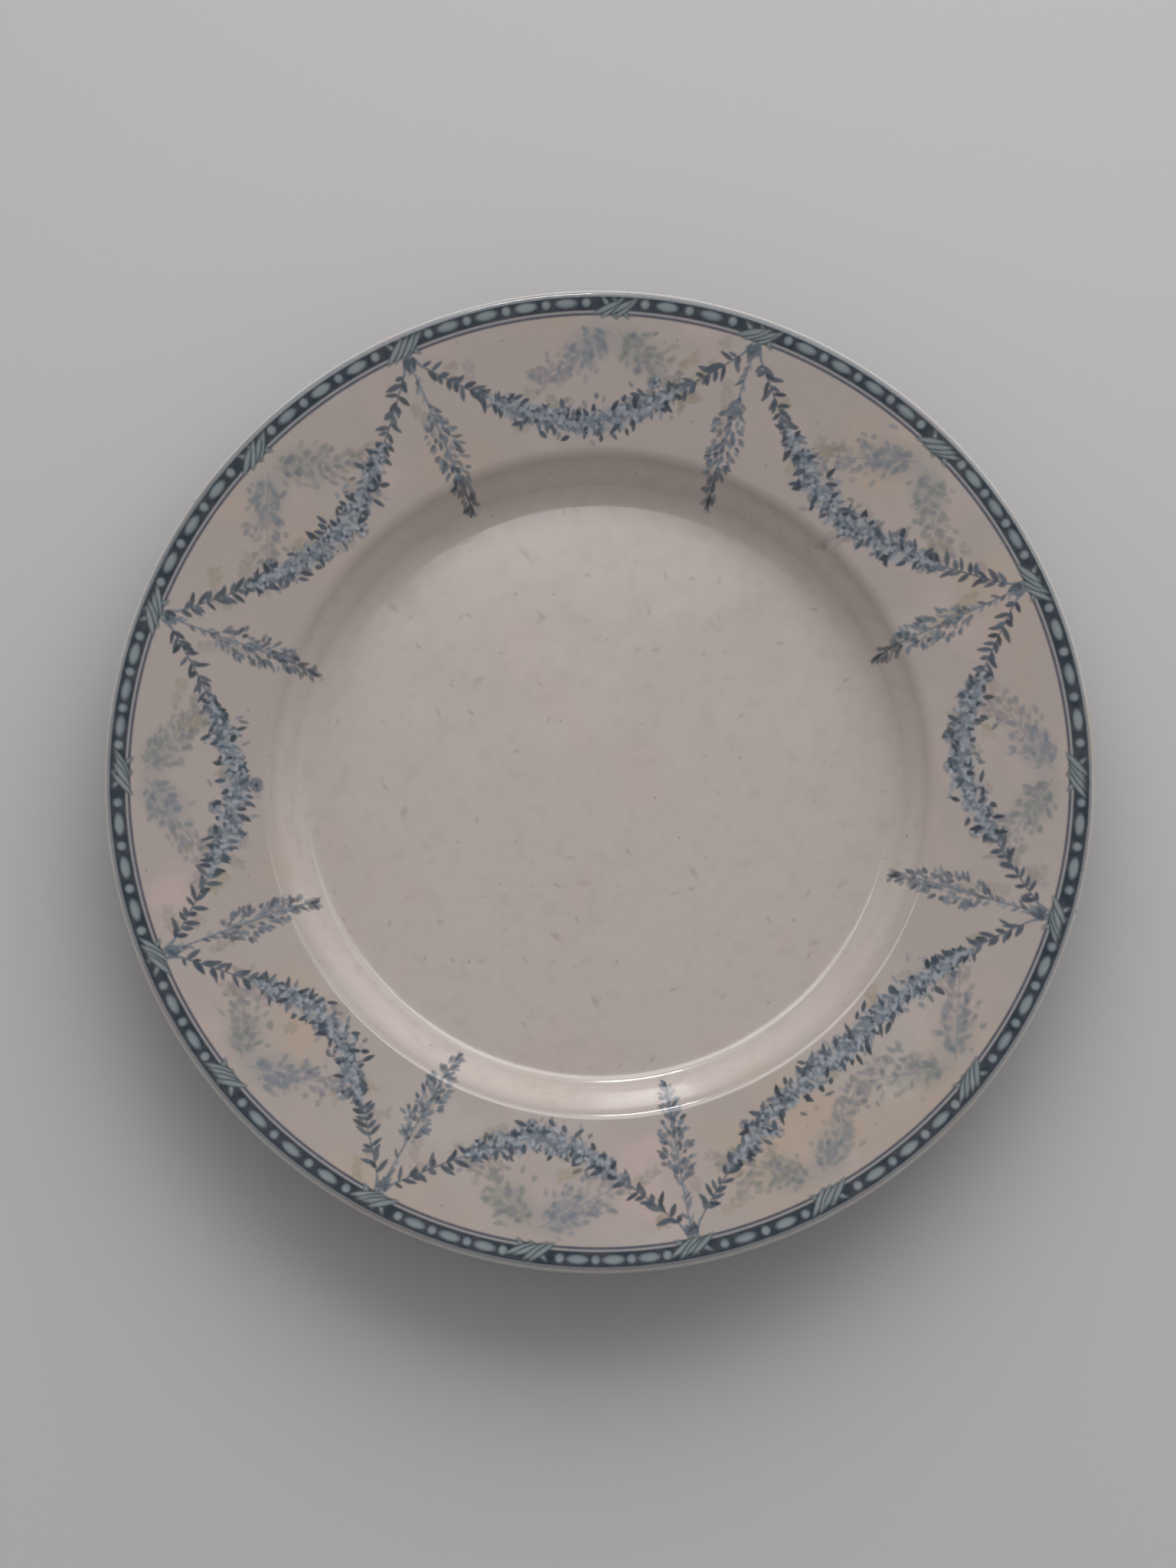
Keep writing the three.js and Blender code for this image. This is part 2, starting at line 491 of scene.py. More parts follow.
class Film:
    """Ink over the plan of the dish: premultiplied colour and cover on a fine square grid."""

    def __init__(self, reach):
        self.reach = reach
        size = int(round(2 * reach / INK_PIXEL)) + 1
        self.ink = np.zeros((size, size, 3), np.float32)
        self.cover = np.zeros((size, size), np.float32)

    def window(self, x, y, span):
        """The grid within a span of a point, and each grid point's offset from it."""
        size = len(self.cover)
        col, row = (x + self.reach) / INK_PIXEL, (y + self.reach) / INK_PIXEL
        half = span / INK_PIXEL + 1
        cols = slice(max(0, int(col - half)), min(size, int(col + half) + 2))
        rows = slice(max(0, int(row - half)), min(size, int(row + half) + 2))
        gy, gx = np.mgrid[rows, cols].astype(np.float32)
        return (rows, cols), gx * INK_PIXEL - self.reach - x, gy * INK_PIXEL - self.reach - y

    def lay(self, where, cover, colour):
        """Ink of one colour over what is there."""
        cover = np.clip(cover, 0, 1)[..., None]
        self.ink[where] = self.ink[where] * (1 - cover) + np.asarray(colour, np.float32) * cover
        self.cover[where] += (1 - self.cover[where]) * cover[..., 0]

    def at(self, x, y):
        """Colour and cover at points, between grid points by proportion."""
        col, row = (x + self.reach) / INK_PIXEL, (y + self.reach) / INK_PIXEL
        c0 = np.clip(col.astype(int), 0, len(self.cover) - 2)
        r0 = np.clip(row.astype(int), 0, len(self.cover) - 2)
        fc, fr = (col - c0)[:, None], (row - r0)[:, None]
        both = np.concatenate([self.ink, self.cover[..., None]], 2)
        low = both[r0, c0] * (1 - fc) + both[r0, c0 + 1] * fc
        high = both[r0 + 1, c0] * (1 - fc) + both[r0 + 1, c0 + 1] * fc
        return low * (1 - fr) + high * fr


def mix(a, b, share):
    """Colour a, turned to colour b by a share."""
    return tuple(p + (q - p) * share for p, q in zip(a, b))


def between(a, b):
    """A colour somewhere between two."""
    return mix(a, b, rng.uniform(0, 1))


def turn(dx, dy, angle):
    """Offsets along a direction and to its left."""
    c, s = math.cos(angle), math.sin(angle)
    return dx * c + dy * s, dy * c - dx * s


def inside(distance, soft=SOFT_EDGE):
    """Cover from a distance inside an edge, which is soft because the ink sank into the clay."""
    return np.clip(distance / soft + 0.5, 0, 1)


def polar(share, degrees):
    """A point of the plan from a share of the lip radius and an angle."""
    a = math.radians(degrees)
    return LIP_REACH * share * math.cos(a), LIP_REACH * share * math.sin(a)


def ahead(spot, heading, distance):
    """A point ahead of another by a distance."""
    return spot[0] + math.cos(heading) * distance, spot[1] + math.sin(heading) * distance


def beside(spot, heading, distance):
    """A point to the left of a path by a distance."""
    return spot[0] - math.sin(heading) * distance, spot[1] + math.cos(heading) * distance


def leaf(film, x, y, angle, length, width, colour, strength=0.95, soft=SOFT_EDGE):
    """A pointed leaf from its stalk."""
    where, dx, dy = film.window(*ahead((x, y), angle, length / 2), length / 2 + soft)
    u, v = turn(dx, dy, angle)
    u = u / length + 0.5
    belly = np.clip(4 * u * (1 - u), 0, 1) ** 0.75 * (1.18 - 0.36 * u)
    film.lay(where, inside(width / 2 * belly - np.abs(v), soft) * ((u > 0) & (u < 1)) * strength, colour)


def stroke(film, points, width, colour, strength=0.9):
    """A drawn line."""
    for (x0, y0), (x1, y1) in zip(points[:-1], points[1:]):
        length = math.hypot(x1 - x0, y1 - y0)
        where, dx, dy = film.window((x0 + x1) / 2, (y0 + y1) / 2, length / 2 + width)
        u, v = turn(dx, dy, math.atan2(y1 - y0, x1 - x0))
        gap = np.hypot(np.maximum(np.abs(u) - length / 2, 0), v)
        film.lay(where, inside(width / 2 - gap) * strength, colour)


def oval(film, x, y, angle, half_long, half_wide, colour, strength=1.0, soft=SOFT_EDGE):
    """An oval about its middle."""
    where, dx, dy = film.window(x, y, max(half_long, half_wide) + soft)
    u, v = turn(dx, dy, angle)
    gap = (1 - np.hypot(u / half_long, v / half_wide)) * min(half_long, half_wide)
    film.lay(where, inside(gap, soft) * strength, colour)


def dark_ink():
    """A dark ink, between blue and green and sometimes thin."""
    return mix(between(NAVY, TEAL), INK_MID, rng.uniform(0, 0.55))


def any_ink():
    """An ink of any depth."""
    return between(mix(between(NAVY, TEAL), INK_MID, 0.3), INK_PALE)


def drawn_size(ranges):
    """A length and a width, each from its own range."""
    lengths, widths = ranges
    return rng.uniform(*lengths), rng.uniform(*widths)


def floret(film, x, y, size):
    """A small open flower: uneven pale petals, with shade between them, round a dark heart."""
    start = rng.uniform(0, math.tau)
    oval(film, x, y, start, size * 1.05, size * 0.9, dark_ink(), strength=0.6, soft=0.8)
    for k in range(FLORET_PETALS):
        a = start + k * math.tau / FLORET_PETALS + rng.uniform(-0.35, 0.35)
        place = ahead((x, y), a, size * rng.uniform(0.5, 0.75))
        tone = between(INK_MID, PETAL)
        oval(film, *place, a, size * 0.42, size * 0.28, tone, strength=rng.uniform(0.6, 0.95))
    oval(film, x, y, start, size * 0.30, size * 0.24, dark_ink(), strength=0.9)


def along(path, step):
    """Shares, points and headings at even steps along a path."""
    lengths = np.concatenate([[0], np.cumsum(np.hypot(*np.diff(path, axis=0).T))])
    count = max(2, int(round(lengths[-1] / step)))
    at = np.linspace(0, lengths[-1], count + 1)
    spots = np.stack([np.interp(at, lengths, path[:, 0]), np.interp(at, lengths, path[:, 1])], 1)
    steps = np.gradient(spots, axis=0)
    return zip(at / lengths[-1], spots, np.arctan2(steps[:, 1], steps[:, 0]))


def swag_path(start, end):
    """The line that a garland hangs on between two ties. A longer swag hangs with a flatter middle."""
    shares = np.linspace(0, 1, SWAG_POINTS)
    flatness = SWAG_FLATNESS * (end - start) / USUAL_SWAG
    hang = (1 - np.abs(2 * shares - 1) ** flatness) ** SWAG_ROUNDNESS
    reach = TIE_LINE + (SWAG_LINE - TIE_LINE) * hang
    return np.array([polar(r, start + (end - start) * s) for r, s in zip(reach, shares)])


def fullness(share, bare):
    """How full a garland is at a share of its way: 0 near its ends and 1 in the middle."""
    return float(np.clip((0.5 - bare - abs(share - 0.5)) / SWAG_TAPER, 0, 1))


def filled(path, step, bare):
    """Points, headings and fullness at even steps along the full middle of a garland."""
    for share, spot, heading in along(path, step):
        full = fullness(share, bare)
        if full > 0:
            yield spot, heading, full


def sideways(heading, out):
    """The way straight out from a stem, on the side that an offset from it is."""
    return heading + math.copysign(math.pi / 2, out)


def sprigs(film, path):
    """Leaves on both sides of a garland's stem, which point away from the nearer tie."""
    for share, spot, heading in along(path, SPRIG_STEP):
        outward = heading if share < 0.5 else heading + math.pi
        if not BARE_STEM < share < 1 - BARE_STEM:
            continue
        for side in (1, -1):
            stalk = ahead(spot, outward, rng.uniform(0, SPRIG_SLIP))
            way = outward + side * rng.uniform(0.35, 1.3)
            size = drawn_size(SPRIG_LEAF)
            leaf(film, *stalk, way, *size, mix(dark_ink(), INK_PALE, rng.uniform(0, 0.5) ** 2))


def garland(film, start, end):
    """A swag: leaf sprigs all along its stem, and flowers among many small leaves in the middle."""
    path = swag_path(start, end)
    bare = SPRIG_SPAN / (end - start)
    stroke(film, path, STEM_WIDTH, mix(TEAL, INK_MID, 0.6), STEM_STRENGTH)
    sprigs(film, path)
    for spot, heading, full in filled(path, CLOUD_STEP, bare):
        size = CLOUD_HALF_LENGTH, CLOUD_HALF_WIDTH * full
        oval(film, *spot, heading, *size, INK_PALE, CLOUD_STRENGTH, soft=CLOUD_HALF_LENGTH)
    for spot, heading, full in filled(path, INNER_STEP, bare):
        out = rng.normal(0, INNER_SPREAD) * full
        way = sideways(heading, out) + rng.normal(0, 0.9)
        place = beside(spot, heading, out)
        size = drawn_size(INNER_LEAF)
        leaf(film, *place, way, *size, any_ink(), strength=rng.uniform(0.45, 0.85))
    for spot, heading, full in filled(path, FLORET_STEP, bare):
        if full > FLORET_FULLNESS:
            place = beside(spot, heading, rng.normal(0, FLORET_SPREAD))
            floret(film, *place, rng.uniform(*FLORET_SIZES))
    for spot, heading, full in filled(path, OUTER_STEP, bare):
        out = rng.uniform(-OUTER_REACH, OUTER_REACH) * full
        way = sideways(heading, out) + rng.uniform(-1.1, 1.1)
        leaf(film, *beside(spot, heading, out), way, *drawn_size(OUTER_LEAF), dark_ink())
    for spot, heading, full in filled(path, PETAL_STEP, bare):
        place = beside(spot, heading, rng.normal(0, PETAL_SPREAD) * full)
        petal = drawn_size(LOOSE_PETAL)
        way = rng.uniform(0, math.pi)
        oval(film, *place, way, *petal, between(INK_PALE, PETAL), strength=rng.uniform(0.5, 0.9))


def spike(film, angle):
    """A tapering spike of bell flowers that hangs inwards from a tie on a thin stem."""
    lean = rng.uniform(-SPIKE_LEAN, SPIKE_LEAN)
    shares = np.linspace(0, 1, SPIKE_POINTS)
    path = np.array([polar(TIE_LINE + (SPIKE_TIP - TIE_LINE) * s, angle + lean * s * s) for s in shares])
    stroke(film, path, STEM_WIDTH, INK_MID, STEM_STRENGTH)
    for share, spot, heading in along(path, SPIKE_STEP):
        if share < SPIKE_SHARES[0]:
            way = heading + rng.choice((-1, 1)) * rng.uniform(0.3, 0.8)
            if rng.uniform() < 0.6:
                leaf(film, *spot, way, *drawn_size(STEM_LEAF), any_ink(), strength=0.8)
            continue
        half = float(np.interp(share, SPIKE_SHARES, SPIKE_HALF_WIDTHS))
        for out in rng.uniform(-0.9, 0.9, 4 if half > SPIKE_SLIM else 2):
            place = beside(spot, heading, out * half)
            way = heading + 1.2 * out + rng.uniform(-0.4, 0.4)
            ink = mix(dark_ink(), INK_PALE, rng.uniform(0, 0.8))
            leaf(film, *place, way, *drawn_size(BELL), ink, strength=rng.uniform(0.6, 0.95))
    leaf(film, *path[-2], math.radians(angle + 180), *SPIKE_TIP_LEAF, dark_ink())


def spray(film, angle, side):
    """A misty spray of the pale second printing, which hangs aslant from a middle tie."""
    start = polar(SPRAY_LINE, angle)
    way = math.radians(angle) + math.pi + side * rng.uniform(*SPRAY_SLANTS)
    length = rng.uniform(*SPRAY_LENGTHS)
    tint = mix(MIST_GREEN, MIST_BLUE, rng.uniform(0.0, 0.4) if side > 0 else rng.uniform(0.6, 1.0))
    stem = np.array([ahead(start, way, d) for d in np.linspace(SPRAY_START, length, SPRAY_POINTS)])
    stroke(film, stem, SPRAY_STEM_WIDTH, tint, strength=0.5)
    haze = length * SPRAY_HAZE_SHARE, SPRAY_HAZE
    oval(film, *stem[2], way, *haze, tint, strength=0.42, soft=SPRAY_HAZE)
    for share, spot, heading in along(stem, SPRAY_STEP):
        if share < SPRAY_SHARES[0]:
            continue
        half = float(np.interp(share, SPRAY_SHARES, SPRAY_HALF_WIDTHS))
        faded = float(np.clip((share - 0.4) * 2, 0, 1))
        for out in rng.normal(0, half * 0.52, 2):
            shade = mix(tint, INK_MID, rng.uniform(0, 0.55))
            tone = mix(shade, between(MIST_LILAC, MIST_OLIVE), faded * rng.uniform(0, 1))
            bend = heading + math.copysign(rng.uniform(0.2, 1.3), out)
            place = beside(spot, heading, out)
            size = drawn_size(SPRAY_LEAF)
            leaf(film, *place, bend, *size, tone, strength=rng.uniform(0.3, 0.7), soft=MIST_SOFT)
    for _ in range(SPRAY_DOTS):
        spot = stem[0] + (stem[-1] - stem[0]) * rng.uniform(0.1, 1.0)
        size = rng.uniform(0.6, 1.2), SPRAY_DOT_HALF_WIDTH
        place = beside(spot, way, rng.normal(0, SPRAY_DOT_SPREAD))
        tilt = rng.uniform(0, math.pi)
        oval(film, *place, tilt, *size, between(INK_MID, MIST_LILAC), strength=0.6, soft=0.8)


def shade_sprig(film, x, y, way, length):
    """A faint sprig of the second printing round the garlands."""
    tone = mix(between(MIST_LILAC, MIST_GREEN), MIST_OLIVE, rng.uniform(0, 0.8))
    for d in np.arange(0, length, SHADE_STEP):
        spot = ahead((x, y), way, d)
        for side in (1, -1):
            bend = way + side * rng.uniform(0.4, 1.0)
            size = rng.uniform(*SHADE_LEAF_LENGTHS), SHADE_LEAF_WIDTH
            leaf(film, *spot, bend, *size, tone, strength=rng.uniform(0.25, 0.55), soft=MIST_SOFT)


def border(film):
    """The dark band at the lip, with a thin rail on each side of it."""
    gy, gx = np.mgrid[0:len(film.cover), 0:len(film.cover)].astype(np.float32)
    reach = np.hypot(gx * INK_PIXEL - film.reach, gy * INK_PIXEL - film.reach)
    everywhere = (slice(None), slice(None))
    low, high = BAND[0] * LIP_REACH, BAND[1] * LIP_REACH
    rail, outer_rail = RAIL * LIP_REACH, OUTER_RAIL * LIP_REACH
    film.lay(everywhere, inside(np.minimum(reach - rail, outer_rail - reach)) * 0.45, INK_PALE)
    film.lay(everywhere, inside(np.minimum(reach - low, high - reach)), mix(NAVY, TEAL, 0.5))
    on_rail = inside(RAIL_HALF_WIDTH - np.abs(reach - rail))
    film.lay(everywhere, on_rail * 0.92, mix(NAVY, INK_MID, 0.2))
    on_outer_rail = inside(OUTER_RAIL_HALF_WIDTH - np.abs(reach - outer_rail))
    film.lay(everywhere, on_outer_rail * 0.7, mix(TEAL, INK_MID, 0.6))


def beads(film, start, end):
    """Round and long beads by turns along the band between two ribbons."""
    low, high = start + RIBBON_WIDTH / 2, end - RIBBON_WIDTH / 2
    count = max(3, int(round((high - low) / BEAD_PITCH)) // 2 * 2 + 1)
    widths = np.where(np.arange(count) % 2, LONG_BEAD_SHARE, 1.0)
    edges = low + (high - low) * np.concatenate([[0], np.cumsum(widths)]) / widths.sum()
    for i, middle in enumerate((edges[:-1] + edges[1:]) / 2):
        half = LONG_BEAD if i % 2 else ROUND_BEAD
        a = math.radians(middle) + math.pi / 2
        tone = mix(BEAD, INK_MID, rng.uniform(0.2, 0.6))
        oval(film, *polar(BEAD_LINE, middle), a, half, BEAD_HALF_WIDTH, tone, soft=BEAD_SOFT)
        shine = half * BEAD_SHINE_SHARE, BEAD_SHINE_HALF_WIDTH
        oval(film, *polar(BEAD_SHINE_LINE, middle), a, *shine, BEAD, strength=0.8, soft=BEAD_SOFT)


def ribbon(film, angle):
    """A ribbon wound slantwise round the band, with one end brought back across it."""
    around = math.degrees(1 / (BEAD_LINE * LIP_REACH))
    for lean, half, steps in RIBBON_STRANDS:
        for step in steps:
            place = polar(RIBBON_LINE, angle + (step + rng.uniform(-0.4, 0.4)) * around)
            a = math.radians(angle) + lean + rng.uniform(-0.15, 0.15)
            pale = mix(BEAD, PETAL, rng.uniform(0, 0.4))
            oval(film, *place, a, half, RIBBON_HALF_WIDTH, mix(TEAL, INK_MID, 0.15), strength=0.9)
            oval(film, *place, a, half - RIBBON_EDGE, RIBBON_PALE_HALF_WIDTH, pale, strength=0.8)


def knot(film, angle):
    """The stems and small leaves where two garlands and a spike are tied to the band."""
    for side in (1, 0, -1):
        top = polar(KNOT_TOP, angle + side * 0.3)
        foot = polar(KNOT_FOOT, angle + side * 1.3)
        stroke(film, [top, foot], KNOT_STEM_WIDTH, mix(INK_MID, INK_PALE, 0.4))
    for side in (1, -1):
        place = polar(KNOT_LINE, angle + side * 0.7)
        for _ in range(KNOT_LEAVES):
            way = math.radians(angle) + math.pi + side * rng.uniform(0.1, 1.4)
            ink = mix(dark_ink(), INK_PALE, rng.uniform(0, 0.6))
            leaf(film, *place, way, *drawn_size(KNOT_LEAF), ink)


def painted_film():
    """The whole print, from the faint second printing up to the border."""
    film = Film(LIP_REACH)
    swags = list(zip(TIES, TIES[1:] + (TIES[0] + 360,)))
    for middle in MID_TIES:
        for side in (1, -1):
            spray(film, middle, side)
    for start, end in swags:
        path = swag_path(start, end)
        for spot in path[rng.integers(*SHADED_POINTS, SHADES_TO_A_SWAG)]:
            place = spot * rng.uniform(*SHADE_SHIFTS)
            shade_sprig(film, *place, rng.uniform(0, math.tau), rng.uniform(*SHADE_LENGTHS))
    for angle in TIES:
        place = polar(SHADE_LINE, angle + TIE_SHADE_SHIFT)
        shade_sprig(film, *place, math.radians(angle + TIE_SHADE_TURN), TIE_SHADE_LENGTH)
    for start, end in swags:
        garland(film, start, end)
    for angle in TIES:
        spike(film, angle)
        knot(film, angle)
    border(film)
    stops = sorted(TIES + MID_TIES)
    for start, end in zip(stops, stops[1:] + [stops[0] + 360]):
        beads(film, start, end)
    for angle in stops:
        ribbon(film, angle)
    return film


# Pieces

def glaze_face(face):
    """The glaze over the face, with the print on its points."""
    outer = offset(face, GLAZE)
    rings = np.arange(PRINT_INNER, PRINT_OUTER * LIP_REACH, PRINT_RING_STEP)
    printed = np.stack([rings, np.interp(rings, outer[:, 0], outer[:, 1])], 1)
    well = outer[outer[:, 0] < rings[0] - PRINT_RING_STEP]
    lip = outer[outer[:, 0] > rings[-1] + PRINT_RING_STEP / 2]
    piece = turned("glaze_face", [
        (refine(well, USUAL_STEP), PLAIN_COLUMNS, True),
        (printed, PRINT_COLUMNS, True),
        (lip, PLAIN_COLUMNS, True),
        (refine(offset(face, FIRING_GAP), HIDDEN_STEP)[::-1], PLAIN_COLUMNS, False),
    ])
    mesh = piece.data
    co = np.empty(len(mesh.vertices) * 3, np.float32)
    mesh.vertices.foreach_get("co", co)
    print_at = painted_film().at(co[0::3] / MM, co[1::3] / MM).astype(np.float32)
    ink = mesh.attributes.new("print_ink", "FLOAT_VECTOR", "POINT")
    ink.data.foreach_set("vector", print_at[:, :3].ravel())
    cover = mesh.attributes.new("print_cover", "FLOAT", "POINT")
    cover.data.foreach_set("value", print_at[:, 3])
    return piece


def glaze_back(back):
    """The glaze from the lip's widest point down the back to the glaze line on the foot."""
    outer = refine(offset(back, GLAZE), FINE_STEP)
    inner = refine(offset(back, FIRING_GAP), HIDDEN_STEP)[::-1]
    return turned("glaze_back", [(outer, PLAIN_COLUMNS, True), (inner, PLAIN_COLUMNS, False)], loop=True)


def glaze_base(base):
    """The glaze on the base inside the foot ring."""
    inner = refine(offset(base, FIRING_GAP), HIDDEN_STEP)[::-1]
    outer = refine(offset(base, GLAZE), USUAL_STEP)
    return turned("glaze_base", [(inner, PLAIN_COLUMNS, False), (outer, PLAIN_COLUMNS, True)])


def clay_body(face, back, base):
    """The clay, which shows only at the foot's bare tread."""
    return turned("clay_body", [
        (refine(np.vstack([face, back]), HIDDEN_STEP), PLAIN_COLUMNS, False),
        (bare_foot(), PLAIN_COLUMNS, True),
        (refine(base, HIDDEN_STEP), PLAIN_COLUMNS, False),
    ])


# Materials

class Shader:
    """A material, and short calls that add nodes to it. A value given to a call is a number, a colour or the
    output of an earlier call."""

    def __init__(self, name):
        self.material = bpy.data.materials.new(name)
        self.material.use_nodes = True
        self.tree = self.material.node_tree
        self.surface = self.tree.nodes["Principled BSDF"]

    def put(self, socket, value):
        """Sets a socket to a number or a colour, or links it to an output."""
        if isinstance(value, bpy.types.NodeSocket):
            self.tree.links.new(value, socket)
        elif socket.type == "RGBA":
            socket.default_value = (*value, 1.0)
        else:
            socket.default_value = value

    def add(self, kind, output, inputs, **settings):
        """A node's output, with its inputs and settings by name."""
        node = self.tree.nodes.new("ShaderNode" + kind)
        for name, value in settings.items():
            setattr(node, name, value)
        for name, value in inputs.items():
            self.put(node.inputs[name], value)
        return node.outputs[output]

    def place(self):
        """The point of the dish, in millimetres."""
        place = self.add("TexCoord", "Object", {})
        return self.add("VectorMath", "Vector", {0: place, "Scale": 1 / MM}, operation="SCALE")

    def reach(self, place):
        """A point's distance from the dish's axis, as a share of the lip radius."""
        flat = self.add("VectorMath", "Vector", {0: place, 1: (1, 1, 0)}, operation="MULTIPLY")
        length = self.add("VectorMath", "Value", {0: flat}, operation="LENGTH")
        return self.math("DIVIDE", length, LIP_REACH)

    def noise(self, place, size, seed, detail=3.0, roughness=0.55):
        """Noise whose blobs are about a size across."""
        inputs = {"Vector": place, "W": seed, "Scale": 1 / size, "Detail": detail, "Roughness": roughness}
        return self.add("TexNoise", "Fac", inputs, noise_dimensions="4D")

    def ramp(self, value, low, high, to_low=0.0, to_high=1.0):
        """A value eased from one number to another while it passes from low to high."""
        inputs = {"Value": value, "From Min": low, "From Max": high, "To Min": to_low, "To Max": to_high}
        return self.add("MapRange", "Result", inputs, interpolation_type="SMOOTHSTEP")

    def math(self, operation, a, b):
        """The outcome of a sum on two values."""
        return self.add("Math", "Value", {0: a, 1: b}, operation=operation)

    def blend(self, share, a, b):
        """Colour a, turned to colour b by a share."""
        return self.add("Mix", 2, {0: share, 6: a, 7: b}, data_type="RGBA")

    def bump(self, height, strength, distance):
        """Gives the surface small waves of a height in millimetres."""
        inputs = {"Height": height, "Strength": strength, "Distance": distance * MM}
        self.put(self.surface.inputs["Normal"], self.add("Bump", "Normal", inputs))

    def marks(self, place, spacing, seed, length, width, share):
        """Scattered short marks, each turned its own way: 1 on a mark and 0 off it. Share is how many of the
        places, one for each spacing, have a mark."""
        moved = self.add("VectorMath", "Vector", {0: place, 1: (seed, seed, 0)}, operation="ADD")
        inputs = {"Vector": moved, "Scale": 1 / spacing}
        cells = self.add("TexVoronoi", "Position", inputs, voronoi_dimensions="2D")
        local = self.add("VectorMath", "Vector", {0: moved, 1: cells}, operation="SUBTRACT")
        chances = self.add("SeparateColor", "Red", {"Color": cells.node.outputs["Color"]})
        angle = self.math("MULTIPLY", chances, math.tau)
        inputs = {"Vector": local, "Angle": angle}
        own_way = self.add("VectorRotate", "Vector", inputs, rotation_type="Z_AXIS")
        scale = (2 / length, 2 / width, 0)
        shaped = self.add("VectorMath", "Vector", {0: own_way, 1: scale}, operation="MULTIPLY")
        distance = self.add("VectorMath", "Value", {0: shaped}, operation="LENGTH")
        mark = self.ramp(distance, 0.0, 1.0, to_low=1.0, to_high=0.0)
        depth = self.ramp(chances.node.outputs["Green"], 1 - share, 1.0)
        return self.math("MULTIPLY", mark, depth)


def ware(shader, place, base, stain=PLAIN_STAIN):
    """A colour of old glazed ware: a base colour under soft stains, mottle and specks."""
    colour = base
    for tint, size, seed, low, high in STAINS:
        share = shader.ramp(shader.noise(place, size, seed), low, high, to_high=stain)
        colour = shader.blend(share, colour, tint)
    uneven = shader.noise(place, size=5, seed=11.0, detail=5.0)
    mottle = shader.ramp(uneven, 0.45, 0.75, to_high=MOTTLE_STRENGTH)
    colour = shader.blend(mottle, colour, MOTTLE)
    specks = shader.marks(place, spacing=13, seed=3.0, length=1.6, width=1.1, share=0.35)
    return shader.blend(shader.math("MULTIPLY", specks, SPECK_STRENGTH), colour, PIT_BROWN)


def gloss(shader, place):
    """The glaze's shine: nearly clear, a little worn, over a surface that flowed unevenly. Returns the
    roughness."""
    shader.surface.inputs["IOR"].default_value = GLAZE_IOR
    slow = shader.noise(place, size=17, seed=17.0, detail=1.0)
    fine = shader.noise(place, size=1.6, seed=21.0, detail=2.0)
    height = shader.math("ADD", slow, shader.math("MULTIPLY", fine, FINE_WAVES))
    shader.bump(height, strength=0.55, distance=0.25)
    wear = shader.noise(place, size=22, seed=13.0, detail=6.0)
    return shader.ramp(wear, 0.3, 0.75, *GLAZE_ROUGHNESS)


def face_material():
    """Printed ware: cream and dulled by use in the well, coloured paler in the cavetto as painted light,
    darker and a little pinker on the marli, partly as painted shade, and greyer at the bare lip."""
    shader = Shader("printed_ware")
    place = shader.place()
    reach = shader.reach(place)
    # Painted light: the cavetto gets a paler colour than the well
    base = shader.blend(shader.ramp(reach, *WELL_EDGE), WARE_WELL, CAVETTO_PAINTED_LIGHT)
    # Partly painted shade: the marli gets a darker colour than the well
    base = shader.blend(shader.ramp(reach, *SHOULDER_EDGE), base, RIM_WITH_PAINTED_SHADE)
    base = shader.blend(shader.ramp(reach, *LIP_EDGE), base, WARE_LIP)
    colour = ware(shader, place, base, shader.ramp(reach, *STAIN_EDGE, *FACE_STAIN))
    well = shader.ramp(reach, *WORN_EDGE, to_low=1.0, to_high=0.0)
    scratches = shader.marks(place, spacing=11, seed=31.0, length=4.4, width=1.8, share=0.6)
    scuffs = shader.marks(place, spacing=21, seed=47.0, length=7.0, width=3.2, share=0.5)
    worn = shader.math("MULTIPLY", shader.math("ADD", scratches, scuffs), well)
    colour = shader.blend(shader.math("MULTIPLY", worn, WEAR_STRENGTH), colour, PIT_BROWN)
    ink = shader.add("Attribute", "Vector", {}, attribute_name="print_ink")
    cover = shader.add("Attribute", "Fac", {}, attribute_name="print_cover")
    strength = shader.ramp(shader.noise(place, size=3.2, seed=25.0), 0.25, 0.75, to_low=THIN_PRINT)
    bare = shader.math("SUBTRACT", 1.0, shader.math("MULTIPLY", cover, strength))
    under = shader.add("VectorMath", "Vector", {0: colour, "Scale": bare}, operation="SCALE")
    over = shader.add("VectorMath", "Vector", {0: ink, "Scale": strength}, operation="SCALE")
    printed = shader.add("VectorMath", "Vector", {0: under, 1: over}, operation="ADD")
    shader.put(shader.surface.inputs["Base Color"], printed)
    dulled = shader.ramp(reach, *DULL_EDGE, to_low=WELL_DULLNESS, to_high=0.0)
    roughness = shader.math("ADD", gloss(shader, place), dulled)
    shader.put(shader.surface.inputs["Roughness"], roughness)
    return shader.material


def plain_material(name, base):
    """Unprinted glazed ware."""
    shader = Shader(name)
    place = shader.place()
    shader.put(shader.surface.inputs["Base Color"], ware(shader, place, base))
    shader.put(shader.surface.inputs["Roughness"], gloss(shader, place))
    return shader.material


def clay_material():
    """Bare fired clay, rubbed and grimy where it stands."""
    shader = Shader("bare_clay")
    place = shader.place()
    dirt = shader.noise(place, size=9, seed=2.0, detail=8.0)
    grime = shader.ramp(dirt, 0.42, 0.70, to_high=GRIME_STRENGTH)
    shader.put(shader.surface.inputs["Base Color"], shader.blend(grime, CLAY_BUFF, CLAY_GRIME))
    grain = shader.noise(place, size=0.7, seed=6.0, detail=4.0)
    shader.put(shader.surface.inputs["Roughness"], shader.ramp(grain, 0.3, 0.7, *CLAY_ROUGHNESS))
    shader.bump(grain, strength=0.5, distance=0.12)
    return shader.material


